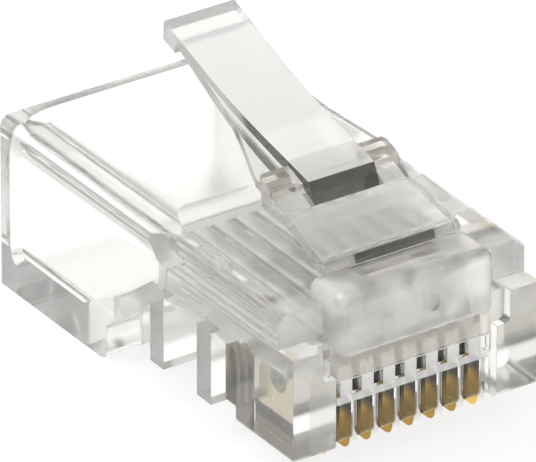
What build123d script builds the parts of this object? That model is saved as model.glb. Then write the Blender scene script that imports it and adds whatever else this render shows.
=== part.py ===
"""Eight-position modular plug for twisted-pair cable, as supplied, before it is crimped.

Millimetres. X runs across the plug, the nose faces -Y, the cable enters from +Y, the
latch is on top (+Z). The origin is below the middle of the plug, on the level of the
rear block's underside.
"""
from build123d import *
import math
import os

# Overall body
BODY_W = 11.68           # across the flats
BODY_L = 21.10           # nose to cable entry
BODY_H = 7.65            # underside of the rear block to the top plate
NOSE_RISE = 1.50         # underside of the nose above the underside of the rear block
TOP_EDGE_R = 0.50        # long upper edges
FOOT_R = 0.35            # lower edges of the nose
REAR_FOOT_R = 0.45       # lower front edge of the rear block

# Nose
LEDGE_DROP = 1.48        # nose ledge below the top plate
LEDGE_DEPTH = 1.07       # nose front to the front of the top plate
PILLAR_PROUD = 0.44      # pillars ahead of the comb
COMB_W = 7.64            # between the pillars, lower part
RECESS_W = 8.90          # between the pillars, upper part
RECESS_FLOOR = 3.27      # start of the wider part above the nose underside
RECESS_R = 0.32          # corners of the wider part

# Stations along the body, measured from the nose
NOSE_BACK = 4.02         # rear of the front block's foot
HEEL_BACK = 4.74         # rear of the raised heel behind it
HEEL_RISE = 0.82         # heel underside above the nose underside
LEG_B_FRONT = 5.78
LEG_B_BACK = 6.79
LEG_A_FRONT = 9.17
LEG_A_BACK = 10.14
REAR_FRONT = 13.33       # front face of the rear block
BAY_CEILING = 4.75       # ceiling of the two front bays
INCLINE_TOP = 4.07       # inclined ceiling of the rear bay, at the leg
INCLINE_FOOT = 1.62      # and at the rear block

# Contacts and their comb
WAYS = 8
PITCH = 1.016
BLADE_T = 0.34
BLADE_PLAY = 0.02        # each side of a blade in its slot
BLADE_SETBACK = 0.24     # blade front behind the comb front
FOOT_LEN = 3.14          # blade length at the foot
TINE_LEN = 2.87          # blade length at the tines
FOOT_TOP = 1.68          # height of the long foot
BLADE_H = 3.62           # foot to the tips of the tines
NOTCH_W = 1.18
NOTCH_FLOOR = 2.68       # notch floor above the foot
NOTCH_FROM_FRONT = 1.56  # notch centre behind the blade front
STEP_BACK = 0.33         # upper part of the blade behind the front of its foot
STEP_UP = 2.27           # height of that step
TIP_DEPTH = 0.34         # sloping part of a tine
TIP_LAND = 0.12          # blunt end of a tine
BLADE_NOSE_R = 0.53      # foot, lower front corner
BLADE_HEEL_R = 0.20      # foot, lower rear corner
BLADE_PROUD = 0.62       # foot below the comb, as supplied
MOUTH_TOP = 1.74         # top of the slot's mouth above the nose underside
WINDOW_W = 0.44          # small window in the comb front above each mouth
WINDOW_LOW = 2.09        # above the nose underside
WINDOW_HIGH = 2.75
CRIMP_TRAVEL = 0.65      # a blade is pushed up this far when the plug is crimped
RIB_NOSE_R = 0.30        # ribs, lower front corner
SLOT_END_PLAY = 0.04

# Conductor channels
CHANNEL_W = 0.90
CHANNEL_LOW = 4.56
CHANNEL_HIGH = 5.58
CHANNEL_FRONT = 1.55     # blind end behind the nose front
CHANNEL_BACK = 10.40     # where the channels open into the jacket cavity
CHANNEL_R = 0.30         # upper corners

# Jacket cavity
CAVITY_W = 8.20
CAVITY_LOW = 1.00
CAVITY_HIGH = 6.30
CAVITY_R = 0.80
ROOF_RAMP = 1.10         # length of that ramp
FLOOR_RAMP_FRONT = 13.75
FLOOR_RAMP_BACK = 16.40
FLOOR_RAMP_TOP = 2.55
FLOOR_LIP = 0.20         # lean of the floor's front edge
MOUTH_CHAMFER = 0.55

# Jacket anchor, a wedge that swings up into the cavity when the plug is crimped
ANCHOR_SIDE_PLAY = 0.08
ANCHOR_H = 1.12
ANCHOR_TOP = 4.46
ANCHOR_HINGE_Y = 10.48
ANCHOR_HINGE_Z = 4.08
ANCHOR_BEAD_R = 0.29
ANCHOR_SWING_R = 3.42    # hinge to the free edge
ANCHOR_REACH = 0.60      # wedge drawn this far past the rear bay before its round end is cut

# Conductor anchor, a bar that swings up onto the conductors
BAR_W = 8.00
BAR_HINGE_Y = 7.50
BAR_HINGE_Z = 4.12
BAR_BEAD_R = 0.26
BAR_LEN = 1.22
BAR_LOW = 3.74
BAR_TOP = 4.46
BAR_EDGE_R = 0.25
RAIL_DEPTH = 0.50        # hinge rail on the leg's rear face
RAIL_LOW = 3.84
BAR_WINDOW_W = 8.24
BAR_WINDOW_FRONT = 7.16
BAR_WINDOW_BACK = 9.00
BAR_WINDOW_HIGH = 5.15
BAR_WINDOW_SINK = 0.35   # window below the channel floors
HINGE_PLAY = 0.04

# Latch root, moulded on the nose
HUMP_W = 7.40
HUMP_PROUD = 0.15        # ahead of the pillars
HUMP_SINK = 2.03         # its underside below the top plate
HUMP_RISE = 0.70         # its top above the top plate
HUMP_BACK = 2.03
HUMP_FRONT_R = 0.55
HUMP_SIDE_R = 0.60
HUMP_LOW_R = 0.18
POCKET_W = 3.90          # core hole in the back of the root
POCKET_DEPTH = 0.95
POCKET_H = 0.38
POCKET_FLOOR_T = 0.12
GATE_W = 0.55            # witness of the moulding gate on the root's face
GATE_H = 0.80
GATE_DEPTH = 0.08
GATE_X = 0.72
GATE_SINK = 0.73         # below the top plate

# Latch arm, heights above the top plate
LATCH_PIVOT_Y = 1.98
LATCH_PIVOT_UP = 0.94
LATCH_BEAD_R = 0.30
PLATE_ROOT_W = 6.40
PLATE_NECK_W = 5.82      # at the foot of the stem
SHOULDER_W = 6.02
PLATE_TOP = [(2.03, 1.24), (4.84, 1.93), (5.66, 2.32)]
PLATE_UNDER = [(2.66, 0.71), (3.93, 1.22), (6.50, 1.63)]
SHOULDER_FRONT = 5.70
SHOULDER_FRONT_UP = 2.53
SHOULDER_BACK = 6.74
SHOULDER_BACK_UP = 2.88
SHOULDER_UNDERCUT = 0.12
SHOULDER_R = 0.25
SHOULDER_MIN_EDGE = 0.9
STEM_ROOT_W = 3.10
STEM_END_W = 3.38
STEM_FRONT = [(4.87, 1.45), (4.87, 1.94), (5.31, 2.78)]
STEM_TOP = [(6.76, 3.09), (8.90, 3.54), (11.10, 4.10), (13.30, 4.83), (15.40, 5.57)]
STEM_UNDER = [(6.50, 1.63), (8.80, 2.15), (11.00, 2.99), (12.90, 3.97), (14.56, 4.85)]
LIP_UP = 4.47            # lower edge of the lip, on its front side
LIP_RISE = 0.28          # that edge's rise towards the free end
LIP_LEAN = 0.06
FLANGE_T = 0.34
FLANGE_TOP = [(6.30, 2.47), (8.70, 3.07), (10.70, 3.61), (12.90, 4.40), (14.40, 5.09)]
FLANGE_PLAN = [(6.90, 2.98), (8.50, 2.42), (10.00, 1.96), (11.20, 1.76), (12.90, 1.63)]
FLANGE_FRONT = 6.30

OVER = 1.0               # cutters run past open faces by this
TINY = 0.01
HALF_W = BODY_W / 2
NOSE_Y = (HUMP_PROUD - BODY_L) / 2
LEDGE_Z = BODY_H - LEDGE_DROP
SLOT_W = BLADE_T + 2 * BLADE_PLAY
BLADE_FRONT = PILLAR_PROUD + BLADE_SETBACK
BLADE_LOW = NOSE_RISE - BLADE_PROUD
SLOT_BACK = BLADE_FRONT + FOOT_LEN + SLOT_END_PLAY
SLOT_TOP = BLADE_LOW + BLADE_H + CRIMP_TRAVEL + SLOT_END_PLAY
HUMP_LOW = BODY_H - HUMP_SINK
HUMP_HIGH = BODY_H + HUMP_RISE
LATCH_PIVOT_Z = BODY_H + LATCH_PIVOT_UP


def station(from_nose):
    """Y of a point measured from the nose."""
    return from_nose + NOSE_Y


def side_points(points):
    """Side-view points with their first number measured from the nose."""
    return [(station(d), z) for d, z in points]


def latch_points(points):
    """Side-view points of the latch, given from the nose and above the top plate."""
    return [(station(d), BODY_H + up) for d, up in points]


def prism(points, width):
    """A side-view outline, measured from the nose, carried across the plug."""
    face = Plane.YZ * Polygon(*side_points(points), align=None)
    return extrude(face, amount=width / 2, both=True)


def block(width, front, back, low, high):
    """A box across the plug, between two stations and two levels."""
    return Pos(0, station((front + back) / 2), (low + high) / 2) * Box(width, back - front, high - low)


def roller(radius, width, from_nose, level):
    """A cylinder lying across the plug."""
    return Pos(0, station(from_nose), level) * Rot(0, 90, 0) * Cylinder(radius, width)


def way_centres():
    """X of each contact, from the first to the last."""
    return [(i - (WAYS - 1) / 2) * PITCH for i in range(WAYS)]


def edges_near(shape, axis, test):
    """Edges along one axis whose middle passes a test."""
    return [e for e in shape.edges().filter_by(axis) if test(e.center())]


def body_blank():
    """The outer form of the housing: nose, legs, bays and rear block."""
    leg_foot = NOSE_RISE + 0.04
    outline = [
        (0, NOSE_RISE),
        (NOSE_BACK, NOSE_RISE),
        (NOSE_BACK, NOSE_RISE + HEEL_RISE),
        (HEEL_BACK, NOSE_RISE + HEEL_RISE),
        (HEEL_BACK, BAY_CEILING),
        (LEG_B_FRONT, BAY_CEILING),
        (LEG_B_FRONT, leg_foot),
        (LEG_B_BACK, leg_foot),
        (LEG_B_BACK, BAY_CEILING),
        (LEG_A_FRONT, BAY_CEILING),
        (LEG_A_FRONT, leg_foot),
        (LEG_A_BACK, leg_foot),
        (LEG_A_BACK, INCLINE_TOP),
        (REAR_FRONT, INCLINE_FOOT),
        (REAR_FRONT, 0),
        (BODY_L, 0),
        (BODY_L, BODY_H),
        (LEDGE_DEPTH, BODY_H),
        (LEDGE_DEPTH, LEDGE_Z),
        (0, LEDGE_Z),
    ]
    body = prism(outline, BODY_W)
    top_edges = edges_near(body, Axis.Y, lambda c: c.Z > BODY_H - TINY)
    body = fillet(top_edges, TOP_EDGE_R)
    feet = edges_near(body, Axis.X, lambda c: c.Z < NOSE_RISE + TINY and c.Y < station(0.1))
    feet += edges_near(body, Axis.Y, lambda c: c.Z < NOSE_RISE + TINY and c.Y < station(NOSE_BACK))
    body = fillet(feet, FOOT_R)
    heel = edges_near(body, Axis.X, lambda c: c.Z < TINY and c.Y < station(REAR_FRONT + 0.1))
    return fillet(heel, REAR_FOOT_R)


def nose_recess():
    """The space between the pillars, ahead of the comb, wider above than below."""
    lower = block(COMB_W, -OVER, PILLAR_PROUD, -OVER, LEDGE_Z + OVER)
    floor = NOSE_RISE + RECESS_FLOOR
    upper = block(RECESS_W, -OVER, PILLAR_PROUD, floor, LEDGE_Z + OVER)
    corners = edges_near(upper, Axis.Y, lambda c: c.Z < floor + TINY)
    return lower + fillet(corners, RECESS_R)


def latch_root():
    """The rounded block at the nose that carries the latch."""
    root = block(HUMP_W, -HUMP_PROUD, HUMP_BACK, HUMP_LOW, HUMP_HIGH)
    uprights = edges_near(root, Axis.Z, lambda c: c.Y < station(0))
    root = fillet(uprights, HUMP_SIDE_R)
    front = [e for e in root.edges() if e.center().Y < station(HUMP_SIDE_R)]
    root = fillet([e for e in front if e.center().Z > HUMP_HIGH - TINY], HUMP_FRONT_R)
    front = [e for e in root.edges() if e.center().Y < station(HUMP_SIDE_R)]
    root = fillet([e for e in front if e.center().Z < HUMP_LOW + TINY], HUMP_LOW_R)
    trough = roller(LATCH_BEAD_R + HINGE_PLAY, HUMP_W + OVER, LATCH_PIVOT_Y, LATCH_PIVOT_Z)
    pocket_low = BODY_H + POCKET_FLOOR_T
    pocket = block(POCKET_W, HUMP_BACK - POCKET_DEPTH, HUMP_BACK + OVER, pocket_low, pocket_low + POCKET_H)
    dimple = extrude(Ellipse(GATE_W / 2, GATE_H / 2), GATE_DEPTH, both=True)
    gate = Pos(GATE_X, station(-HUMP_PROUD), BODY_H - GATE_SINK) * Rot(90, 0, 0) * dimple
    return root - trough - pocket - gate


def channels():
    """Eight parallel grooves for the conductors, with rounded roofs."""
    tunnel = block(CHANNEL_W, CHANNEL_FRONT, CHANNEL_BACK, CHANNEL_LOW, CHANNEL_HIGH)
    roof = edges_near(tunnel, Axis.Y, lambda c: c.Z > CHANNEL_HIGH - TINY)
    tunnel = fillet(roof, CHANNEL_R)
    return [Pos(x, 0, 0) * tunnel for x in way_centres()]


def contact_slot():
    """One blade slot with its mouth in the comb and its window."""
    slot = block(SLOT_W, BLADE_FRONT - SLOT_END_PLAY, SLOT_BACK, 0, SLOT_TOP)
    mouth = block(SLOT_W, -OVER, BLADE_FRONT, 0, NOSE_RISE + MOUTH_TOP)
    window = block(WINDOW_W, -OVER, BLADE_FRONT, NOSE_RISE + WINDOW_LOW, NOSE_RISE + WINDOW_HIGH)
    return slot + mouth + window


def jacket_cavity():
    """The cable's way in, from the rear mouth to the channels."""
    back = BODY_L + OVER
    roof = [
        (CHANNEL_BACK, CHANNEL_HIGH),
        (CHANNEL_BACK + ROOF_RAMP, CAVITY_HIGH),
        (back, CAVITY_HIGH),
        (back, CAVITY_LOW),
        (FLOOR_RAMP_BACK, CAVITY_LOW),
        (FLOOR_RAMP_FRONT, FLOOR_RAMP_TOP),
        (FLOOR_RAMP_FRONT - FLOOR_LIP, 0),
        (LEG_A_BACK, 0),
        (LEG_A_BACK, CHANNEL_LOW),
        (CHANNEL_BACK - 0.5, CHANNEL_LOW),
        (CHANNEL_BACK - 0.5, CHANNEL_HIGH),
    ]
    hollow = prism(roof, CAVITY_W)
    upper = edges_near(hollow, Axis.Y, lambda c: c.Z > CAVITY_HIGH - TINY)
    hollow = fillet(upper, CAVITY_R)
    lower = edges_near(hollow, Axis.Y, lambda c: c.Z < CAVITY_LOW + TINY and c.Y > station(FLOOR_RAMP_BACK))
    return fillet(lower, CAVITY_R)


def comb_foot(body):
    """Round the lower front corner of the comb."""
    low = edges_near(body, Axis.X, lambda c: abs(c.Z - NOSE_RISE) < TINY)
    return fillet([e for e in low if abs(e.center().Y - station(PILLAR_PROUD)) < TINY], RIB_NOSE_R)


def open_mouth(body):
    """Chamfer the rim of the cable entry."""
    rear = [e for e in body.edges() if e.center().Y > station(BODY_L) - TINY]
    inner = [e for e in rear if abs(e.center().X) < CAVITY_W / 2 + TINY]
    rim = [e for e in inner if CAVITY_LOW - TINY < e.center().Z < CAVITY_HIGH + TINY]
    return chamfer(rim, MOUTH_CHAMFER)


def housing():
    """The clear one-piece body."""
    body = comb_foot(body_blank() - nose_recess())
    rail = block(BAR_WINDOW_W, LEG_B_BACK - 0.2, LEG_B_BACK + RAIL_DEPTH, RAIL_LOW, BAY_CEILING + 0.2)
    body = open_mouth(body + rail + latch_root() - jacket_cavity())
    for tunnel in channels():
        body = body - tunnel
    for x in way_centres():
        body = body - Pos(x, 0, 0) * contact_slot()
    window_low = CHANNEL_LOW - BAR_WINDOW_SINK
    body = body - block(BAR_WINDOW_W, BAR_WINDOW_FRONT, BAR_WINDOW_BACK, window_low, BAR_WINDOW_HIGH)
    return body - roller(BAR_BEAD_R + HINGE_PLAY, BAR_WINDOW_W + OVER, BAR_HINGE_Y, BAR_HINGE_Z)


def jacket_anchor():
    """The inclined wedge in the floor of the jacket cavity."""
    slope = (INCLINE_TOP - INCLINE_FOOT) / (REAR_FRONT - LEG_A_BACK)
    front = ANCHOR_HINGE_Y
    back = REAR_FRONT + ANCHOR_REACH

    def under(d):
        return INCLINE_TOP - slope * (d - LEG_A_BACK)

    level = LEG_A_BACK + (INCLINE_TOP + ANCHOR_H - ANCHOR_TOP) / slope
    width = CAVITY_W - 2 * ANCHOR_SIDE_PLAY
    outline = [
        (front, under(front)),
        (back, under(back)),
        (back, under(back) + ANCHOR_H),
        (level, ANCHOR_TOP),
        (front, ANCHOR_TOP),
    ]
    wedge = prism(outline, width)
    bead = roller(ANCHOR_BEAD_R, width, ANCHOR_HINGE_Y, ANCHOR_HINGE_Z)
    wedge = wedge & roller(ANCHOR_SWING_R, width, ANCHOR_HINGE_Y, ANCHOR_HINGE_Z)
    return wedge + bead


def conductor_anchor():
    """The bar below the channels in the middle bay."""
    bar = block(BAR_W, BAR_HINGE_Y, BAR_HINGE_Y + BAR_LEN, BAR_LOW, BAR_TOP)
    free = edges_near(bar, Axis.X, lambda c: c.Y > station(BAR_HINGE_Y + BAR_LEN - TINY))
    bar = fillet([e for e in free if e.center().Z < BAR_LOW + TINY], BAR_EDGE_R)
    return bar + roller(BAR_BEAD_R, BAR_W, BAR_HINGE_Y, BAR_HINGE_Z)


def blunt_end(near, far, high):
    """The two corners of a tine's end, rear one first."""
    middle = (near + far) / 2
    return [(middle + TIP_LAND / 2, high), (middle - TIP_LAND / 2, high)]


def contact(x):
    """One plated blade with two insulation-piercing tines."""
    front = BLADE_FRONT
    heel = front + FOOT_LEN
    back = front + TINE_LEN
    low = BLADE_LOW
    high = low + BLADE_H
    flank = high - TIP_DEPTH
    notch = front + NOTCH_FROM_FRONT
    near = notch - NOTCH_W / 2
    far = notch + NOTCH_W / 2
    spring_line = low + NOTCH_FLOOR + NOTCH_W / 2
    outline = [(front, low), (heel, low), (heel, low + FOOT_TOP), (back, low + FOOT_TOP), (back, flank)]
    outline += blunt_end(far, back, high)
    outline += [(far, flank), (far, spring_line), (near, spring_line), (near, flank)]
    outline += blunt_end(front + STEP_BACK, near, high)
    outline += [(front + STEP_BACK, flank), (front + STEP_BACK, low + STEP_UP), (front, low + STEP_UP)]
    blade = prism(outline, BLADE_T) - roller(NOTCH_W / 2, BLADE_T * 2, notch, spring_line)
    foot = edges_near(blade, Axis.X, lambda c: c.Z < low + TINY)
    blade = fillet([e for e in foot if e.center().Y < station(front) + TINY], BLADE_NOSE_R)
    foot = edges_near(blade, Axis.X, lambda c: c.Z < low + TINY)
    blade = fillet([e for e in foot if e.center().Y > station(heel) - TINY], BLADE_HEEL_R)
    return Pos(x, 0, 0) * blade


def in_plan(widths):
    """A tall symmetric piece from widths at stations, to trim a layer to its outline."""
    right = [(width / 2, station(from_nose)) for from_nose, width in widths]
    left = [(-x, y) for x, y in reversed(right)]
    return extrude(Polygon(*right, *left, align=None), amount=BODY_L)


def stem():
    """The raised rib of the latch, from the step at its root to the free end."""
    top = latch_points(STEM_TOP)
    under = latch_points(STEM_UNDER)
    lip_low = BODY_H + LIP_UP
    lip = [(top[-1][0] + LIP_LEAN, lip_low + LIP_RISE), (under[-1][0] + LIP_LEAN, lip_low)]
    rear = Polyline(top[-1], *lip, under[-1])
    root = Polyline(under[0], *latch_points(STEM_FRONT), top[0])
    face = Plane.YZ * make_face(Curve() + [Spline(*top), rear, Spline(*under), root])
    widths = [(STEM_FRONT[0][0], STEM_ROOT_W), (STEM_TOP[-1][0] + OVER, STEM_END_W)]
    return extrude(face, amount=HALF_W, both=True) & in_plan(widths)


def flange():
    """The thin shelf along both sides of the stem, flaring to the shoulders."""
    upper = latch_points(FLANGE_TOP)
    lower = [(y, z - FLANGE_T) for y, z in reversed(upper)]
    skin = Curve() + [Spline(*upper), Line(upper[-1], lower[0]), Spline(*lower), Line(lower[-1], upper[0])]
    layer = extrude(Plane.YZ * make_face(skin), amount=HALF_W, both=True)
    right = [(x, station(d)) for d, x in FLANGE_PLAN]
    left = [(-x, y) for x, y in reversed(right)]
    wide = right[0][0]
    front = [(-wide, station(FLANGE_FRONT)), (wide, station(FLANGE_FRONT))]
    sides = [Spline(*right), Line(right[-1], left[0]), Spline(*left)]
    plan = Curve() + sides + [Polyline(left[-1], *front, right[0])]
    return layer & extrude(make_face(plan), amount=BODY_L)


def plate():
    """The wide part of the latch between its root and its shoulders."""
    shoulder = [(SHOULDER_FRONT, SHOULDER_FRONT_UP), (SHOULDER_BACK, SHOULDER_BACK_UP)]
    heel = (SHOULDER_BACK - SHOULDER_UNDERCUT, PLATE_UNDER[-1][1])
    root = (LATCH_PIVOT_Y, LATCH_PIVOT_UP - LATCH_BEAD_R)
    outline = latch_points(PLATE_TOP + shoulder + [heel] + PLATE_UNDER[::-1] + [root])
    body = extrude(Plane.YZ * Polygon(*outline, align=None), amount=HALF_W, both=True)
    front = [(LATCH_PIVOT_Y - LATCH_BEAD_R, PLATE_ROOT_W), (PLATE_TOP[1][0], PLATE_NECK_W)]
    body = body & in_plan(front + [(SHOULDER_FRONT, SHOULDER_W), (SHOULDER_BACK, SHOULDER_W)])
    sides = [e for e in body.edges() if abs(e.center().X) > SHOULDER_W / 2 - TINY]
    rear = [e for e in sides if e.center().Y > station(SHOULDER_BACK - SHOULDER_UNDERCUT)]
    body = fillet([e for e in rear if e.length > SHOULDER_MIN_EDGE], SHOULDER_R)
    return body + roller(LATCH_BEAD_R, PLATE_ROOT_W, LATCH_PIVOT_Y, LATCH_PIVOT_Z)


def latch():
    """The sprung arm: plate, shoulders, stem, flange and lip."""
    return plate() + flange() + stem()


def main():
    """Write every piece of the plug."""
    os.makedirs("parts", exist_ok=True)
    export_step(housing(), "parts/housing.step")
    export_step(latch(), "parts/latch.step")
    export_step(jacket_anchor(), "parts/jacket_anchor.step")
    export_step(conductor_anchor(), "parts/conductor_anchor.step")
    for number, x in enumerate(way_centres(), start=1):
        export_step(contact(x), f"parts/contact_{number}.step")


main()
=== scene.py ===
"""Looks of a clear eight-way modular plug on a pale studio sweep.

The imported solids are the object. This script gives them their clear moulded plastic and
plated metal, and sets the camera, the floor, the surroundings and the lamps. Names that end
in _mm are millimetres in the part's frame, and angles are degrees.
"""
from __future__ import annotations

import logging
import math
from dataclasses import dataclass, field, replace
from enum import Enum

import bpy
from mathutils import Matrix, Vector

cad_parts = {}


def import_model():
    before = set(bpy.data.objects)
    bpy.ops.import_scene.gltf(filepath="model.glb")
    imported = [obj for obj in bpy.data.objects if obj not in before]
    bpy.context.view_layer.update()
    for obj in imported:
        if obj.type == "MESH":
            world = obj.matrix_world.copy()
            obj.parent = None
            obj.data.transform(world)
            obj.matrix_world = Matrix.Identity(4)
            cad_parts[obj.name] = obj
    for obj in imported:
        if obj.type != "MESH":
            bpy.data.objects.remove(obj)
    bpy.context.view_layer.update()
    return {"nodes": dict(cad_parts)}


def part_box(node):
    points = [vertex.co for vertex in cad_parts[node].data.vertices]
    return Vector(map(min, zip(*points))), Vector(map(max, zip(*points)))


LOG = logging.getLogger("plug")
MM = 0.001
PHOTO_W = 536
PHOTO_H = 462
WHITE = (1.0, 1.0, 1.0)

Triple = tuple[float, float, float]
Socket = bpy.types.NodeSocket


class Part(Enum):
    """Node names of the pieces, and how those of the blades start."""

    HOUSING = "housing"
    LATCH = "latch"
    JACKET_ANCHOR = "jacket_anchor"
    CONDUCTOR_ANCHOR = "conductor_anchor"
    CONTACT = "contact_"


class Sum(Enum):
    """Arithmetic that the finishes use."""

    MULTIPLY = "MULTIPLY"
    MULTIPLY_ADD = "MULTIPLY_ADD"
    SUBTRACT = "SUBTRACT"
    ABSOLUTE = "ABSOLUTE"
    FRACT = "FRACT"
    MAXIMUM = "MAXIMUM"
    ABOVE = "GREATER_THAN"
    BELOW = "LESS_THAN"


class Blend(Enum):
    """Ways to put one colour on another."""

    MIX = "MIX"
    MULTIPLY = "MULTIPLY"


@dataclass(frozen=True)
class ViewFit:
    """Where the photograph was taken from, fitted to the plug's corners."""

    azimuth: float = -33.909
    elevation: float = 28.555
    roll: float = 0.093
    distance_mm: float = 411.54
    focal_px: float = 10317.24
    centre_x_px: float = 264.22
    centre_y_px: float = 260.26
    target_mm: Triple = (0.0, 0.255, 4.0)
    sensor_mm: float = 36.0
    clip_start_m: float = 0.02
    clip_end_m: float = 20.0


class PhotoCamera:
    """The camera at the photograph's viewing angle."""

    def __init__(self, fit: ViewFit) -> None:
        """Keep the fit."""
        self.fit = fit

    def axes(self) -> tuple[Vector, Vector, Vector]:
        """Right, up and back of the camera.

        Returns:
            Three unit vectors in the part's frame.
        """
        a = math.radians(self.fit.azimuth)
        e = math.radians(self.fit.elevation)
        back = Vector((math.sin(a) * math.cos(e), -math.cos(a) * math.cos(e), math.sin(e)))
        right = Vector((math.cos(a), math.sin(a), 0.0))
        up = back.cross(right)
        roll = Matrix.Rotation(math.radians(self.fit.roll), 3, back)
        return roll @ right, roll @ up, back

    def build(self) -> bpy.types.Object:
        """Create the camera and make it the scene's.

        Returns:
            The camera object.
        """
        right, up, back = self.axes()
        per_px = self.fit.distance_mm / self.fit.focal_px
        aim = Vector(self.fit.target_mm)
        aim += right * (PHOTO_W / 2 - self.fit.centre_x_px) * per_px
        aim -= up * (PHOTO_H / 2 - self.fit.centre_y_px) * per_px
        data = bpy.data.cameras.new("photo_camera")
        data.sensor_fit = "HORIZONTAL"
        data.sensor_width = self.fit.sensor_mm
        data.lens = self.fit.focal_px / PHOTO_W * self.fit.sensor_mm
        data.clip_start = self.fit.clip_start_m
        data.clip_end = self.fit.clip_end_m
        camera = bpy.data.objects.new("photo_camera", data)
        turn = Matrix((right, up, back)).transposed().to_4x4()
        camera.matrix_world = Matrix.Translation((aim + back * self.fit.distance_mm) * MM) @ turn
        bpy.context.scene.collection.objects.link(camera)
        bpy.context.scene.camera = camera
        return camera


@dataclass(frozen=True)
class Noise:
    """A cloudy texture: waves per metre, finer layers, their strength and the warp."""

    scale: float
    detail: float
    rough: float = 0.5
    warp: float = 0.0


@dataclass(frozen=True)
class Relief:
    """Fine relief of a surface, and the radius of its edges."""

    strength: float
    depth_mm: float
    edge_mm: float
    edge_samples: int = 4


class Nodes:
    """A thin helper that adds and links shader nodes."""

    def __init__(self, tree: bpy.types.NodeTree) -> None:
        """Clear the tree and keep it."""
        self.tree = tree
        tree.nodes.clear()

    def add(self, kind: str, **inputs: object) -> bpy.types.Node:
        """Add a node.

        Args:
            kind: node type without its ShaderNode prefix.
            inputs: socket name (underscores for spaces) to a value or an output socket.

        Returns:
            The new node.
        """
        node = self.tree.nodes.new("ShaderNode" + kind)
        for name, value in inputs.items():
            self.feed(node.inputs[name.replace("_", " ")], value)
        return node

    def feed(self, socket: Socket, value: object) -> None:
        """Link an output into a socket, or set the socket's value.

        Args:
            socket: the input to fill.
            value: an output socket, or a plain value.
        """
        if isinstance(value, Socket):
            self.tree.links.new(value, socket)
        else:
            socket.default_value = value

    def axes(self, vector: Socket) -> tuple[Socket, Socket, Socket]:
        """Sockets of a vector's x, y and z."""
        x, y, z = self.add("SeparateXYZ", Vector=vector).outputs
        return x, y, z

    def math(self, step: Sum, *values: object) -> Socket:
        """One arithmetic step.

        Args:
            step: what is done.
            values: sockets or numbers that it is done to, in order.

        Returns:
            The result's socket.
        """
        node = self.tree.nodes.new("ShaderNodeMath")
        node.operation = step.value
        for socket, value in zip(node.inputs, values):
            self.feed(socket, value)
        return node.outputs[0]

    def product(self, first: object, *others: object) -> Socket:
        """All the values multiplied.

        Args:
            first: a socket or a number.
            others: what it is multiplied by, in order.

        Returns:
            The product's socket.
        """
        result = first
        for other in others:
            result = self.math(Sum.MULTIPLY, result, other)
        return result

    def size(self, value: object) -> Socket:
        """The value without its sign."""
        return self.math(Sum.ABSOLUTE, value)

    def above(self, value: object, limit: object) -> Socket:
        """One where the value is more than the limit, else zero."""
        return self.math(Sum.ABOVE, value, limit)

    def below(self, value: object, limit: object) -> Socket:
        """One where the value is less than the limit, else zero."""
        return self.math(Sum.BELOW, value, limit)

    def swing(self, value: Socket, middle: float, width: float) -> Socket:
        """A value of 0 to 1 spread over a width round a middle."""
        return self.math(Sum.MULTIPLY_ADD, value, width, middle - width / 2)

    def dot(self, a: object, b: object) -> Socket:
        """Dot product of two vectors.

        Args:
            a: first vector.
            b: second vector.

        Returns:
            The result's socket.
        """
        node = self.tree.nodes.new("ShaderNodeVectorMath")
        node.operation = "DOT_PRODUCT"
        self.feed(node.inputs[0], a)
        self.feed(node.inputs[1], b)
        return node.outputs["Value"]

    def noise(self, grain: Noise, place: Socket | None = None) -> Socket:
        """A cloudy value between 0 and 1.

        Args:
            grain: how coarse and rough the clouds are.
            place: coordinates, or none for those of the mesh's own box.

        Returns:
            The value's socket.
        """
        node = self.add("TexNoise", Scale=grain.scale, Detail=grain.detail)
        self.feed(node.inputs["Roughness"], grain.rough)
        self.feed(node.inputs["Distortion"], grain.warp)
        if place is not None:
            self.feed(node.inputs["Vector"], place)
        return node.outputs["Fac"]

    def ramp(self, factor: object, stops: tuple[tuple[float, Triple], ...]) -> Socket:
        """A colour ramp.

        Args:
            factor: the ramp's input.
            stops: positions and colours.

        Returns:
            The colour socket.
        """
        node = self.tree.nodes.new("ShaderNodeValToRGB")
        self.feed(node.inputs[0], factor)
        bands = node.color_ramp.elements
        while len(bands) < len(stops):
            bands.new(0.5)
        for band, (place, colour) in zip(bands, stops):
            band.position = place
            band.color = (*colour, 1.0)
        return node.outputs[0]

    def smooth(self, value: object, low: float, high: float) -> Socket:
        """A smooth step from 0 at low to 1 at high, also where low is the greater one.

        Args:
            value: the input.
            low: where the step starts.
            high: where it ends.

        Returns:
            The step's socket.
        """
        node = self.tree.nodes.new("ShaderNodeMapRange")
        node.interpolation_type = "SMOOTHSTEP"
        self.feed(node.inputs["Value"], value)
        self.feed(node.inputs["From Min"], low)
        self.feed(node.inputs["From Max"], high)
        return node.outputs["Result"]

    def mix(self, share: object, a: object, b: object) -> Socket:
        """A number between two others.

        Args:
            share: 0 gives a, 1 gives b.
            a: first number.
            b: second number.

        Returns:
            The result's socket.
        """
        node = self.tree.nodes.new("ShaderNodeMix")
        node.data_type = "FLOAT"
        for socket, value in zip((node.inputs[0], *node.inputs[2:4]), (share, a, b)):
            self.feed(socket, value)
        return node.outputs[0]

    def mix_colour(self, share: object, a: object, b: object, blend: Blend = Blend.MIX) -> Socket:
        """A colour made of two others.

        Args:
            share: how much of the blend is used.
            a: first colour.
            b: second colour.
            blend: how b is put on a.

        Returns:
            The colour socket.
        """
        node = self.tree.nodes.new("ShaderNodeMix")
        node.data_type = "RGBA"
        node.blend_type = blend.value
        self.feed(node.inputs[0], share)
        for socket, value in zip(node.inputs[6:8], (a, b)):
            self.feed(socket, value if isinstance(value, Socket) else (*value, 1.0))
        return node.outputs[2]

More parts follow.
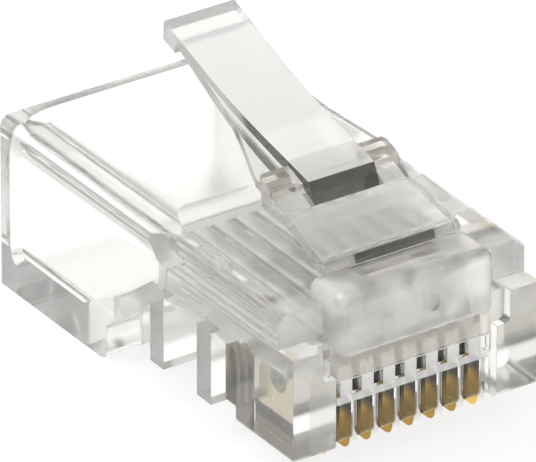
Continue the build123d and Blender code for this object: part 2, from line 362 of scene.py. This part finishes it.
    def mix_shader(self, share: object, a: Socket, b: Socket) -> Socket:
        """A shader made of two others.

        Args:
            share: 0 gives a, 1 gives b.
            a: first shader.
            b: second shader.

        Returns:
            The shader socket.
        """
        node = self.tree.nodes.new("ShaderNodeMixShader")
        for socket, value in zip(node.inputs, (share, a, b)):
            self.feed(socket, value)
        return node.outputs[0]

    def relief(self, height: Socket, relief: Relief) -> Socket:
        """The surface's direction, with rounded edges and fine relief.

        Args:
            height: what raises the surface.
            relief: how strong and deep it is, and the radius of the edges.

        Returns:
            The direction's socket.
        """
        edge = self.add("Bevel", Radius=relief.edge_mm * MM)
        edge.samples = relief.edge_samples
        bump = self.add("Bump", Strength=relief.strength, Distance=relief.depth_mm * MM)
        self.feed(bump.inputs["Height"], height)
        self.feed(bump.inputs["Normal"], edge.outputs[0])
        return bump.outputs[0]


def blank(name: str) -> tuple[bpy.types.Material, Nodes]:
    """A new material with no nodes in it yet.

    Args:
        name: the material's name.

    Returns:
        The material and its nodes.
    """
    material = bpy.data.materials.new(name)
    material.use_nodes = True
    return material, Nodes(material.node_tree)


def direction(azimuth: float, elevation: float) -> Triple:
    """Unit vector at an azimuth from +X towards +Y and an elevation above the floor."""
    a, e = math.radians(azimuth), math.radians(elevation)
    return (math.cos(a) * math.cos(e), math.sin(a) * math.cos(e), math.sin(e))


@dataclass(frozen=True)
class Card:
    """A soft round patch of the surroundings, seen only in the clear plastic and the metal."""

    azimuth: float
    elevation: float
    inner: float
    outer: float
    level: float

    def share(self, n: Nodes, way: Socket) -> Socket:
        """One within the inner radius, zero outside the outer one.

        Args:
            n: the world's nodes.
            way: the direction that is looked at.

        Returns:
            The share's socket.
        """
        near, far = math.cos(math.radians(self.inner)), math.cos(math.radians(self.outer))
        return n.smooth(n.dot(way, direction(self.azimuth, self.elevation)), far, near)


@dataclass
class Surroundings:
    """The room round the plug: a white table below, grey walls, a dark ceiling, a few cards."""

    daylight: float = 0.62
    tone: Triple = (1.0, 0.995, 0.975)
    by_height: tuple[tuple[float, float], ...] = (
        (-1.0, 1.22),
        (-0.64, 1.10),
        (-0.30, 0.88),
        (0.0, 0.66),
        (0.3, 0.52),
        (0.5, 0.40),
        (0.77, 0.24),
        (1.0, 0.12),
    )
    cards: tuple[Card, ...] = (
        Card(225, -30, 12, 28, 1.00),
        Card(50, 24, 14, 28, 0.92),
        Card(310, 14, 8, 20, 0.33),
        Card(290, 52, 10, 26, 0.05),
        Card(22, 57, 20, 36, 0.0),
        Card(76, -7, 7, 18, 0.30),
        Card(108, -3, 13, 30, 0.05),
        Card(46, -33, 17, 32, 1.22),
    )

    def level(self, n: Nodes) -> Socket:
        """Brightness of the room in the direction that is looked at.

        Args:
            n: the world's nodes.

        Returns:
            The brightness socket.
        """
        way = n.add("TexCoord").outputs["Generated"]
        height = n.math(Sum.MULTIPLY_ADD, n.axes(way)[2], 0.5, 0.5)
        level = n.ramp(height, tuple(((z + 1) / 2, (v, v, v)) for z, v in self.by_height))
        for card in self.cards:
            level = n.mix(card.share(n, way), level, card.level)
        return level

    def build(self) -> bpy.types.World:
        """Create the world.

        Returns:
            The scene's world.
        """
        world = bpy.data.worlds.new("room")
        world.use_nodes = True
        n = Nodes(world.node_tree)
        path = n.add("LightPath").outputs
        seen = n.math(Sum.MAXIMUM, path["Is Glossy Ray"], path["Is Transmission Ray"])
        room = n.add("Background", Color=(*self.tone, 1.0), Strength=self.level(n))
        plain = n.add("Background", Color=(*WHITE, 1.0), Strength=1.0)
        soft = n.add("Background", Color=(*WHITE, 1.0), Strength=self.daylight)
        inner = n.mix_shader(seen, soft.outputs[0], room.outputs[0])
        both = n.mix_shader(path["Is Camera Ray"], inner, plain.outputs[0])
        n.add("OutputWorld", Surface=both)
        bpy.context.scene.world = world
        return world


@dataclass
class Sweep:
    """The pale floor, which keeps the plug's soft shadow."""

    half_m: float = 0.6
    glow: float = 0.82
    albedo: float = 0.92
    albedo_swing: float = 0.01
    grain: Noise = Noise(90.0, 3.0)
    grain_from: float = 0.3
    grain_to: float = 0.7

    def build(self) -> bpy.types.Object:
        """Create the floor.

        Returns:
            The floor object.
        """
        mesh = bpy.data.meshes.new("floor")
        h = self.half_m
        mesh.from_pydata([(-h, -h, 0), (h, -h, 0), (h, h, 0), (-h, h, 0)], [], [(0, 1, 2, 3)])
        mesh.materials.append(self.paint())
        floor = bpy.data.objects.new("floor", mesh)
        bpy.context.scene.collection.objects.link(floor)
        floor.visible_glossy = False
        floor.visible_transmission = False
        return floor

    def paint(self) -> bpy.types.Material:
        """The floor's white, which glows for the camera alone.

        Returns:
            The material.
        """
        material, n = blank("floor_white")
        pale, paler = (self.albedo,) * 3, (self.albedo + self.albedo_swing,) * 3
        tone = n.ramp(n.noise(self.grain), ((self.grain_from, pale), (self.grain_to, paler)))
        matte = n.add("BsdfDiffuse", Color=tone)
        white = n.add("Emission", Color=(*WHITE, 1.0), Strength=1.0)
        share = n.product(n.add("LightPath").outputs["Is Camera Ray"], self.glow)
        n.add("OutputMaterial", Surface=n.mix_shader(share, matte.outputs[0], white.outputs[0]))
        return material


@dataclass(frozen=True)
class Softbox:
    """One large soft lamp."""

    name: str
    azimuth: float
    elevation: float
    distance_m: float
    size_m: float
    watts: float

    def build(self) -> bpy.types.Object:
        """Create the lamp, aimed at the plug.

        Returns:
            The lamp object.
        """
        way = Vector(direction(self.azimuth, self.elevation))
        data = bpy.data.lights.new(self.name, "AREA")
        data.shape = "SQUARE"
        data.size = self.size_m
        data.energy = self.watts
        lamp = bpy.data.objects.new(self.name, data)
        lamp.location = way * self.distance_m
        lamp.rotation_euler = way.to_track_quat("Z", "Y").to_euler()
        bpy.context.scene.collection.objects.link(lamp)
        return lamp


@dataclass(frozen=True)
class Zone:
    """A boxed stretch of a moulding whose surface differs from the rest."""

    low_mm: Triple
    high_mm: Triple
    rough: float
    haze: float
    # The tint multiplies the surface colour; on the dark zones it is painted shade.
    tint: Triple = WHITE
    soft_mm: float = 0.1
    cloud: float = 0.0
    cloud_from: float = 0.32
    cloud_to: float = 0.68
    facing: Triple | None = None
    facing_from: float = 0.3
    facing_to: float = 0.5

    def share(self, n: Nodes, place: Socket, normal: Socket) -> Socket:
        """One inside the zone, zero outside it.

        Args:
            n: the material's nodes.
            place: object coordinates.
            normal: the surface's direction.

        Returns:
            The share's socket.
        """
        share: object = 1.0
        for axis, low, high in zip(n.axes(place), self.low_mm, self.high_mm):
            rise = n.smooth(axis, (low - self.soft_mm) * MM, (low + self.soft_mm) * MM)
            fall = n.smooth(axis, (high + self.soft_mm) * MM, (high - self.soft_mm) * MM)
            share = n.product(share, n.product(rise, fall))
        if self.facing is not None:
            turned = n.smooth(n.dot(normal, self.facing), self.facing_from, self.facing_to)
            share = n.product(share, turned)
        return share

    def milk(self, n: Nodes, place: Socket, clouds: Noise) -> object:
        """How milky the zone is, cloudy where it asks for that.

        Args:
            n: the material's nodes.
            place: object coordinates.
            clouds: the plastic's clouds.

        Returns:
            A number, or a socket where the zone is cloudy.
        """
        if not self.cloud:
            return self.haze
        drift = n.smooth(n.noise(clouds, place), self.cloud_from, self.cloud_to)
        return n.swing(drift, self.haze, 2 * self.cloud)

    def mirrored(self) -> Zone:
        """The same zone on the other side of the plug.

        Returns:
            A copy with its X turned round.
        """
        low = (-self.high_mm[0], *self.low_mm[1:])
        high = (-self.low_mm[0], *self.high_mm[1:])
        return replace(self, low_mm=low, high_mm=high)


@dataclass(frozen=True)
class Touch:
    """Slot walls that the blades' feet press on, so the metal shows through the plastic."""

    pitch_mm: float = 1.016
    whole_pitches: float = 8.0
    wall_mm: float = 0.19
    wall_play_mm: float = 0.02
    upright: float = 0.9
    front_mm: float = -9.80
    back_mm: float = -8.20
    top_mm: float = 3.24
    reach_mm: float = 3.6
    gold_mm: float = 2.05
    shade_mm: float = 2.85
    metallic: float = 0.7
    rough: float = 0.35
    gold: Triple = (1.0, 0.72, 0.10)
    shade: Triple = (0.10, 0.085, 0.065)

    def share(self, n: Nodes, place: Socket, normal: Socket) -> Socket:
        """One on the touched stretch of a slot wall, zero elsewhere.

        Args:
            n: the material's nodes.
            place: object coordinates.
            normal: the surface's direction.

        Returns:
            The share's socket.
        """
        x, y, z = n.axes(place)
        pitches = n.math(Sum.MULTIPLY_ADD, x, 1 / (self.pitch_mm * MM), self.whole_pitches)
        turn = n.math(Sum.SUBTRACT, n.math(Sum.FRACT, pitches), 0.5)
        off_wall = n.math(Sum.SUBTRACT, n.product(n.size(turn), self.pitch_mm), self.wall_mm)
        return n.product(
            n.below(n.size(off_wall), self.wall_play_mm),
            n.above(n.size(n.axes(normal)[0]), self.upright),
            n.below(n.size(x), self.reach_mm * MM),
            n.above(y, self.front_mm * MM),
            n.below(y, self.back_mm * MM),
            n.below(z, self.top_mm * MM),
        )

    def tone(self, n: Nodes, place: Socket) -> Socket:
        """Gold low down, in shade above the foot."""
        up = n.smooth(n.axes(place)[2], self.gold_mm * MM, self.shade_mm * MM)
        return n.mix_colour(up, self.gold, self.shade)


@dataclass(frozen=True)
class ClearPlastic:
    """Clear moulded polycarbonate: polished outside, softer where the core pins formed it."""

    name: str
    tint: Triple = (0.985, 0.982, 0.970)
    tint_low: float = 0.985
    ior: float = 1.586
    polish: float = 0.03
    polish_swing: float = 0.03
    core: float = 0.14
    haze: float = 0.05
    skin_mm: float = 0.06
    relief: Relief = Relief(strength=0.02, depth_mm=0.2, edge_mm=0.05)
    flow: Noise = Noise(420.0, 2.0, 0.45)
    flow_from: float = 0.3
    flow_to: float = 0.7
    fine: Noise = Noise(2600.0, 3.0, 0.6)
    clouds: Noise = Noise(560.0, 3.0, 0.55, 0.6)
    box_mm: tuple[Triple, Triple] | None = None
    zones: tuple[Zone, ...] = ()
    touch: Touch | None = None

    def build(self) -> bpy.types.Material:
        """Create the material.

        Returns:
            The material.
        """
        material, n = blank(self.name)
        where = n.add("TexCoord").outputs
        place, normal = where["Object"], where["Normal"]
        flow = n.noise(self.flow, place)
        faded = tuple(c * self.tint_low for c in self.tint)
        flow_tint_and_painted_shade = n.ramp(flow, ((self.flow_from, faded), (self.flow_to, self.tint)))
        rough = n.swing(n.noise(self.fine, place), self.polish, self.polish_swing)
        if self.box_mm is not None:
            rough = n.mix(self.within(n, place), rough, self.core)
        haze: object = self.haze
        # Each zone multiplies its tint into the colour; on the dark zones that tint is painted
        # shade.
        for zone in self.zones:
            share = zone.share(n, place, normal)
            rough = n.mix(share, rough, zone.rough)
            haze = n.mix(share, haze, zone.milk(n, place, self.clouds))
            flow_tint_and_painted_shade = n.mix_colour(share, flow_tint_and_painted_shade, zone.tint, Blend.MULTIPLY)
        metal: object = 0.0
        glint: object = (*WHITE, 1.0)
        if self.touch is not None:
            touched = self.touch.share(n, place, normal)
            tone = self.touch.tone(n, place)
            flow_tint_and_painted_shade = n.mix_colour(touched, flow_tint_and_painted_shade, tone)
            rough = n.mix(touched, rough, self.touch.rough)
            glint = n.mix_colour(touched, WHITE, tone)
            haze = n.math(Sum.MAXIMUM, haze, touched)
            metal = n.product(touched, self.touch.metallic)
        shader = n.add(
            "BsdfPrincipled",
            Base_Color=flow_tint_and_painted_shade,
            Roughness=rough,
            IOR=self.ior,
            Metallic=metal,
            Specular_Tint=glint,
            Transmission_Weight=n.math(Sum.SUBTRACT, 1.0, haze) if self.zones else 1.0 - haze,
            Normal=n.relief(flow, self.relief),
        )
        n.add("OutputMaterial", Surface=shader.outputs[0])
        return material

    def within(self, n: Nodes, place: Socket) -> Socket:
        """One inside the outer skin of the moulding, zero on that skin.

        Args:
            n: the material's nodes.
            place: object coordinates.

        Returns:
            The mask's socket.
        """
        inside: object = 1.0
        for axis, low, high in zip(n.axes(place), *self.box_mm):
            inside = n.product(inside, n.above(axis, (low + self.skin_mm) * MM))
            inside = n.product(inside, n.below(axis, (high - self.skin_mm) * MM))
        return inside


@dataclass(frozen=True)
class PlatedMetal:
    """Copper alloy, nickel all over, with gold on the front of the foot that meets the jack."""

    name: str = "plated_contact"
    nickel: Triple = (0.78, 0.69, 0.51)
    gold: Triple = (0.97, 0.62, 0.13)
    # Painted highlight on the faces of the blades that turn to the front.
    painted_front_highlight: Triple = (0.80, 0.80, 0.78)
    # Painted shade multiplied into the side faces of the blades that stand between others.
    between: Triple = (0.5, 0.48, 0.44)
    # Painted shade on the side faces of the feet: dark bands with one lighter line.
    foot: tuple[tuple[float, Triple], ...] = (
        (0.60, (0.17, 0.14, 0.075)),
        (0.72, (0.50, 0.42, 0.27)),
        (0.79, (0.08, 0.065, 0.035)),
        (0.98, (0.03, 0.025, 0.018)),
    )
    gold_top_mm: float = 2.55
    gold_wander_mm: float = 0.12
    gold_back_mm: float = -8.2
    gold_fade_mm: float = 0.5
    comb_low_mm: float = 1.5
    between_mm: float = 3.2
    upright: float = 0.9
    front_from: float = -0.5
    front_to: float = -0.8
    polish: float = 0.24
    polish_swing: float = 0.16
    dull: float = 0.86
    dull_from: float = 0.25
    dull_to: float = 0.75
    wander: Noise = Noise(1800.0, 2.0)
    rolled: Noise = Noise(5200.0, 4.0, 0.65)
    relief: Relief = Relief(strength=0.12, depth_mm=0.02, edge_mm=0.03)

    def plating(self, n: Nodes, place: Socket, normal: Socket) -> Socket:
        """Nickel and gold, the foot's painted shade bands, painted shade between the blades and a
        painted highlight on the front edge.

        Args:
            n: the material's nodes.
            place: object coordinates.
            normal: the surface's direction.

        Returns:
            The colour socket.
        """
        x, depth, height = n.axes(place)
        across, facing, _ = n.axes(normal)
        wander = n.noise(self.wander, place)
        low = n.below(height, n.swing(wander, self.gold_top_mm * MM, self.gold_wander_mm * MM))
        behind = (self.gold_back_mm + self.gold_fade_mm) * MM
        ahead = (self.gold_back_mm - self.gold_fade_mm) * MM
        gilt = n.product(low, n.smooth(depth, behind, ahead))
        tone = n.mix_colour(gilt, self.nickel, self.gold)
        side = n.above(n.size(across), self.upright)
        # Painted shade bands on the feet's side faces, by height.
        bands = n.ramp(n.product(height, 1 / (self.gold_top_mm * MM)), self.foot)
        foot = n.product(side, low, n.above(height, self.comb_low_mm * MM))
        tone = n.mix_colour(foot, tone, bands)
        # Painted shade on the side faces of the inner blades.
        inner = n.product(side, n.below(n.size(x), self.between_mm * MM))
        tone = n.mix_colour(inner, tone, self.between, Blend.MULTIPLY)
        # Painted highlight: faces turned to the front take the light grey.
        return n.mix_colour(n.smooth(facing, self.front_from, self.front_to), tone, self.painted_front_highlight)

    def build(self) -> bpy.types.Material:
        """Create the material.

        Returns:
            The material.
        """
        material, n = blank(self.name)
        where = n.add("TexCoord").outputs
        rolled = n.noise(self.rolled, where["Object"])
        dull = n.ramp(rolled, ((self.dull_from, (self.dull,) * 3), (self.dull_to, WHITE)))
        plating = self.plating(n, where["Object"], where["Normal"])
        shader = n.add(
            "BsdfPrincipled",
            Base_Color=n.mix_colour(1.0, plating, dull, Blend.MULTIPLY),
            Metallic=1.0,
            Roughness=n.swing(rolled, self.polish, self.polish_swing),
            Normal=n.relief(rolled, self.relief),
        )
        n.add("OutputMaterial", Surface=shader.outputs[0])
        return material


def dress(node: bpy.types.Object, material: bpy.types.Material) -> None:
    """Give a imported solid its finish.

    Args:
        node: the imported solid's object.
        material: its finish.
    """
    node.data.materials.clear()
    node.data.materials.append(material)
    LOG.info("dressed %s with %s", node.name, material.name)


@dataclass
class Housing:
    """The clear body.

    Its nose and hump are frosted, the rib faces of the comb are white, and the brow is the part
    of the comb below the hump. The gaps lie behind the notches of the outer blades. The heel, the
    gaps and the pocket carry painted shade.
    """

    node: bpy.types.Object
    nose: Zone = Zone(
        (-5.9, -10.8, 5.0), (5.9, -8.3, 9.0), rough=0.22, haze=0.14, cloud=0.08, soft_mm=0.3,
    )
    hump: Zone = Zone(
        (-3.8, -10.8, 5.5), (3.8, -8.5, 9.0), rough=0.36, haze=0.25, cloud=0.13,
        tint=(0.985, 0.965, 0.935),
    )
    channels: Zone = Zone((-4.2, -9.1, 4.5), (4.2, 0.0, 5.66), rough=0.42, haze=0.09)
    ribs: Zone = Zone(
        (-3.75, -10.3, 3.24), (3.75, -9.9, 4.30), rough=0.3, haze=0.5, soft_mm=0.03,
        facing=(0, -1, 0),
    )
    rib_feet: Zone = Zone(
        (-3.75, -10.3, 1.4), (3.75, -9.8, 3.20), rough=0.04, haze=0.0, soft_mm=0.03,
    )
    brow: Zone = Zone(
        (-3.75, -10.3, 4.36), (3.75, -9.9, 5.7), rough=0.35, haze=0.3, soft_mm=0.03,
        tint=(0.95, 0.91, 0.85), facing=(0, -1, 0),
    )
    # Painted shade: the hump's core hole is tinted dark.
    pocket: Zone = Zone(
        (-1.95, -9.5, 7.70), (1.95, -8.5, 8.32), rough=0.2, haze=0.05, soft_mm=0.02,
        tint=(0.25, 0.24, 0.22),
    )
    # Painted shade: the heel is tinted dark.
    heel: Zone = Zone(
        (-6.0, -6.5, 2.2), (6.0, -5.6, 4.8), rough=0.12, haze=0.05, tint=(0.42, 0.41, 0.36),
    )
    # Painted shade: the stretch behind each outer blade's notch is tinted dark.
    gap: Zone = Zone(
        (-3.6, -8.95, 3.40), (-2.8, -7.50, 4.75), rough=0.2, haze=0.1, soft_mm=0.05,
        tint=(0.38, 0.35, 0.29),
    )

    def build(self) -> None:
        """Dress the housing."""
        low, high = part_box("housing")
        plastic = ClearPlastic(
            "clear_housing",
            box_mm=(tuple(c / MM for c in low), tuple(c / MM for c in high)),
            zones=(
                self.nose, self.hump, self.channels, self.ribs, self.rib_feet, self.brow,
                self.pocket, self.heel, self.gap, self.gap.mirrored(),
            ),
            touch=Touch(),
        )
        dress(self.node, plastic.build())


@dataclass
class Latch:
    """The clear sprung arm.

    Its top is satin and its underside rough. The step's face, the left flank of the stem and the
    bead behind the hump carry painted shade, and the shoulders a slight painted shade. The crown
    is the top of the stem, and the toe its front.
    """

    node: bpy.types.Object
    underside: Zone = Zone((-9, -20, -5), (9, 20, 20), rough=0.45, haze=0.12, facing=(0, 0, -1))
    # Painted shade: the step's face is tinted nearly black.
    step: Zone = Zone(
        (-1.75, -5.8, 9.0), (1.75, -5.0, 10.6), rough=0.08, haze=0.0, soft_mm=0.03,
        tint=(0.07, 0.07, 0.06), facing=(0, -1, 0),
    )
    # Painted shade: the stem's left flank is tinted nearly black.
    flank: Zone = Zone(
        (-2.3, -5.8, 7.0), (-1.0, -0.6, 13.5), rough=0.10, haze=0.0, soft_mm=0.35,
        tint=(0.03, 0.03, 0.025), facing=(-1, 0, 0),
    )
    # Painted shade: the bead in the trough behind the hump is tinted dark.
    bead: Zone = Zone(
        (-1.80, -8.88, 8.48), (2.0, -8.50, 8.86), rough=0.15, haze=0.02, soft_mm=0.03,
        tint=(0.07, 0.065, 0.055),
    )
    lip: Zone = Zone((-1.9, 4.1, 9.0), (1.9, 6.0, 14.0), rough=0.12, haze=0.24, soft_mm=0.05)
    # A slight painted shade on the shoulders.
    shoulder: Zone = Zone(
        (-3.06, -4.9, 9.5), (-1.62, -3.6, 10.7), rough=0.16, haze=0.12, soft_mm=0.04,
        tint=(0.90, 0.87, 0.80),
    )
    plate: Zone = Zone(
        (-3.3, -8.4, 8.6), (3.3, -5.7, 10.1), rough=0.22, haze=0.16, tint=(0.985, 0.975, 0.95),
        facing=(0, 0, 1),
    )
    crown: Zone = Zone(
        (-1.8, -5.3, 10.0), (1.8, 4.2, 14.0), rough=0.34, haze=0.34, soft_mm=0.05,
        facing=(0, 0, 1),
    )
    toe: Zone = Zone(
        (-1.8, -5.4, 10.0), (1.8, -3.72, 11.2), rough=0.30, haze=0.30, soft_mm=0.02,
        tint=(0.80, 0.80, 0.77), facing=(0, 0, 1),
    )

    def build(self) -> None:
        """Dress the latch."""
        plastic = ClearPlastic(
            "clear_latch",
            zones=(
                self.underside, self.step, self.flank, self.bead, self.lip, self.shoulder,
                self.shoulder.mirrored(), self.plate, self.crown, self.toe,
            ),
        )
        dress(self.node, plastic.build())


@dataclass
class Anchors:
    """The clear wedge in the jacket cavity and the clear bar below the channels."""

    nodes: tuple[bpy.types.Object, ...]
    polish: float = 0.05

    def build(self) -> None:
        """Dress both anchors alike."""
        clear = ClearPlastic("clear_anchor", polish=self.polish).build()
        for node in self.nodes:
            dress(node, clear)


@dataclass
class Contacts:
    """The eight plated blades in the comb."""

    nodes: tuple[bpy.types.Object, ...]

    def build(self) -> None:
        """Dress each blade."""
        plated = PlatedMetal().build()
        for node in self.nodes:
            dress(node, plated)


@dataclass
class Studio:
    """Camera, floor, surroundings and lamps."""

    view: ViewFit = field(default_factory=ViewFit)
    lamps: tuple[Softbox, ...] = (
        Softbox("key", 150, 55, 0.55, 0.35, 2.2),
        Softbox("fill", 250, 60, 0.60, 0.40, 1.2),
    )
    clear_bounces: int = 32
    glossy_bounces: int = 12

    def build(self) -> None:
        """Set the studio up."""
        PhotoCamera(self.view).build()
        Sweep().build()
        Surroundings().build()
        for lamp in self.lamps:
            lamp.build()
        cycles = bpy.context.scene.cycles
        cycles.max_bounces = self.clear_bounces
        cycles.transmission_bounces = self.clear_bounces
        cycles.glossy_bounces = self.glossy_bounces
        bpy.context.scene.view_settings.view_transform = "Standard"


def main() -> None:
    """Load the frame, light it, dress it and keep its sizes."""
    logging.basicConfig(level=logging.INFO, format="%(name)s: %(message)s")
    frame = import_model()
    nodes = frame["nodes"]
    anchors = tuple(nodes[part.value] for part in (Part.JACKET_ANCHOR, Part.CONDUCTOR_ANCHOR))
    blades = tuple(node for name, node in nodes.items() if name.startswith(Part.CONTACT.value))
    Studio().build()
    Housing(nodes[Part.HOUSING.value]).build()
    Latch(nodes[Part.LATCH.value]).build()
    Anchors(anchors).build()
    Contacts(blades).build()


if __name__ == "__main__":
    main()
